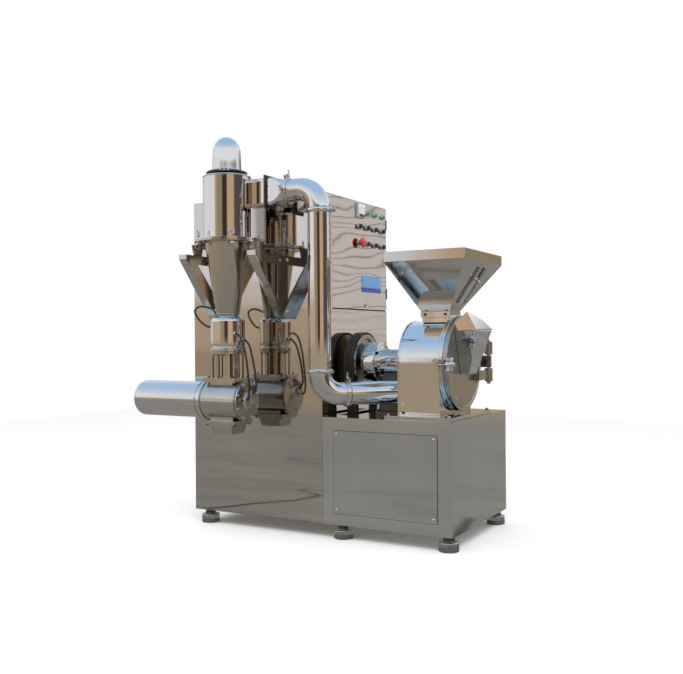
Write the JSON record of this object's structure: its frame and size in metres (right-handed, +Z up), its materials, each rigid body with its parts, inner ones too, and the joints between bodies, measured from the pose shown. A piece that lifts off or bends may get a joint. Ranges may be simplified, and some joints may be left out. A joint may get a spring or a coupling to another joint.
{
  "type": "hammer mill",
  "caption": "Stainless hammer mill on a sheet base, with hopper, hinged chamber door, belt drive, cyclone with rotary valve, and a dust cabinet with a control door.",
  "frame": {"origin": "on the floor, under the middle of the box round the whole set", "axes": "+X from the cyclone's gear motor towards the crusher, +Y from the front to the back of the cabinet, +Z up"},
  "size_m": [1.66, 1.1, 1.932],
  "materials": {
    "polished_steel": "mirror-polished stainless sheet",
    "satin_steel": "satin stainless sheet",
    "cast_steel": "smooth machined casting",
    "black_rubber": "matt black",
    "black_plastic": "gloss black",
    "red_plastic": "gloss red",
    "grey_paint": "semi-gloss grey enamel",
    "filter_cloth": "felted filter cloth"
  },
  "bodies": {
    "stand": {"air_tube_down": "black_rubber", "air_tube_loop": "black_rubber", "air_tube_side": "black_rubber", "base_foot_1": "satin_steel", "base_foot_2": "satin_steel", "base_foot_3": "satin_steel", "base_foot_4": "satin_steel", "base_front_panel": "polished_steel", "base_shell": "satin_steel", "bearing_housing": "polished_steel", "bracket_left": "satin_steel", "bracket_right": "satin_steel", "cabinet_floor": "satin_steel", "cabinet_foot_1": "satin_steel", "cabinet_foot_2": "satin_steel", "cabinet_front_lower": "polished_steel", "cabinet_front_upper": "polished_steel", "cabinet_rear_shell": "satin_steel", "cabinet_top": "polished_steel", "crusher_housing": "polished_steel", "cyclone_barrel": "polished_steel", "cyclone_cone": "satin_steel", "cyclone_lid": "polished_steel", "discharge_spout": "satin_steel", "drive_belts": "black_rubber", "drive_motor": "grey_paint", "exhaust_dome": "polished_steel", "fan_motor": "grey_paint", "feed_hopper": "polished_steel", "filter_cartridge": "filter_cloth", "filter_tube_sheet": "satin_steel", "gear_motor": "polished_steel", "inlet_duct": "polished_steel", "lower_elbow": "polished_steel", "outlet_pipe": "polished_steel", "receiver_can": "polished_steel", "ring_screen": "cast_steel", "riser_pipe": "polished_steel", "upper_elbow": "polished_steel", "valve_body": "satin_steel", "valve_cover": "satin_steel", "valve_neck": "satin_steel"},
    "control_door": {"control_door": "polished_steel"},
    "push_button_1": {"push_button_1": "black_plastic"},
    "push_button_2": {"push_button_2": "black_plastic"},
    "push_button_3": {"push_button_3": "black_plastic"},
    "push_button_4": {"push_button_4": "black_plastic"},
    "push_button_6": {"push_button_6": "black_plastic"},
    "push_button_7": {"push_button_7": "black_plastic"},
    "push_button_8": {"push_button_8": "black_plastic"},
    "stop_mushroom": {"stop_mushroom": "red_plastic"},
    "crusher_door": {"crusher_door": "cast_steel"},
    "clamp_knob": {"clamp_knob": "polished_steel"},
    "mill_rotor": {"hammer_rotor": "cast_steel", "mill_pulley": "cast_steel"},
    "motor_pulley": {"motor_pulley": "cast_steel"},
    "valve_rotor": {"valve_rotor": "cast_steel"},
    "fan_impeller": {"fan_impeller": "satin_steel"},
    "feed_gate": {"feed_gate": "satin_steel"}
  },
  "joints": [
    {"name": "control_door_hinge", "type": "hinge", "parent": "stand", "child": "control_door", "pos_m": [0.115, 0.517, 1.39], "axis": [0, 0, 1], "range_deg": [0, 28]},
    {"name": "push_button_1_press", "type": "slide", "parent": "control_door", "child": "push_button_1", "axis": [-1, 0, 0], "range_m": [0, 0.004], "stiffness_N_per_m": 300},
    {"name": "push_button_2_press", "type": "slide", "parent": "control_door", "child": "push_button_2", "axis": [-1, 0, 0], "range_m": [0, 0.004], "stiffness_N_per_m": 300},
    {"name": "push_button_3_press", "type": "slide", "parent": "control_door", "child": "push_button_3", "axis": [-1, 0, 0], "range_m": [0, 0.004], "stiffness_N_per_m": 300},
    {"name": "push_button_4_press", "type": "slide", "parent": "control_door", "child": "push_button_4", "axis": [-1, 0, 0], "range_m": [0, 0.004], "stiffness_N_per_m": 300},
    {"name": "push_button_6_press", "type": "slide", "parent": "control_door", "child": "push_button_6", "axis": [-1, 0, 0], "range_m": [0, 0.004], "stiffness_N_per_m": 300},
    {"name": "push_button_7_press", "type": "slide", "parent": "control_door", "child": "push_button_7", "axis": [-1, 0, 0], "range_m": [0, 0.004], "stiffness_N_per_m": 300},
    {"name": "push_button_8_press", "type": "slide", "parent": "control_door", "child": "push_button_8", "axis": [-1, 0, 0], "range_m": [0, 0.004], "stiffness_N_per_m": 300},
    {"name": "stop_mushroom_press", "type": "slide", "parent": "control_door", "child": "stop_mushroom", "axis": [-1, 0, 0], "range_m": [0, 0.004], "stiffness_N_per_m": 300},
    {"name": "crusher_door_hinge", "type": "hinge", "parent": "stand", "child": "crusher_door", "pos_m": [0.743, 0.403, 0.837], "axis": [0, 0, 1], "range_deg": [0, 110]},
    {"name": "clamp_knob_turn", "type": "hinge", "parent": "crusher_door", "child": "clamp_knob", "pos_m": [0.701, -0.117, 0.837], "axis": [1, 0, 0], "continuous": true},
    {"name": "mill_rotor_spin", "type": "hinge", "parent": "stand", "child": "mill_rotor", "pos_m": [0.115, 0.123, 0.837], "axis": [1, 0, 0], "continuous": true},
    {"name": "motor_pulley_spin", "type": "hinge", "parent": "stand", "child": "motor_pulley", "pos_m": [0.115, 0.123, 0.235], "axis": [1, 0, 0], "continuous": true},
    {"name": "valve_rotor_spin", "type": "hinge", "parent": "stand", "child": "valve_rotor", "pos_m": [-0.29, -0.392, 0.663], "axis": [1, 0, 0], "continuous": true},
    {"name": "fan_spin", "type": "hinge", "parent": "stand", "child": "fan_impeller", "pos_m": [-0.2725, 0.165, 1.3], "axis": [0, 0, 1], "continuous": true},
    {"name": "feed_gate_slide", "type": "slide", "parent": "stand", "child": "feed_gate", "axis": [0.5622, 0, 0.827], "range_m": [0, 0.05]}
  ],
  "couplings": [
    {"joint": "motor_pulley_spin", "follows": "mill_rotor_spin", "ratio": 2.3333}
  ]
}
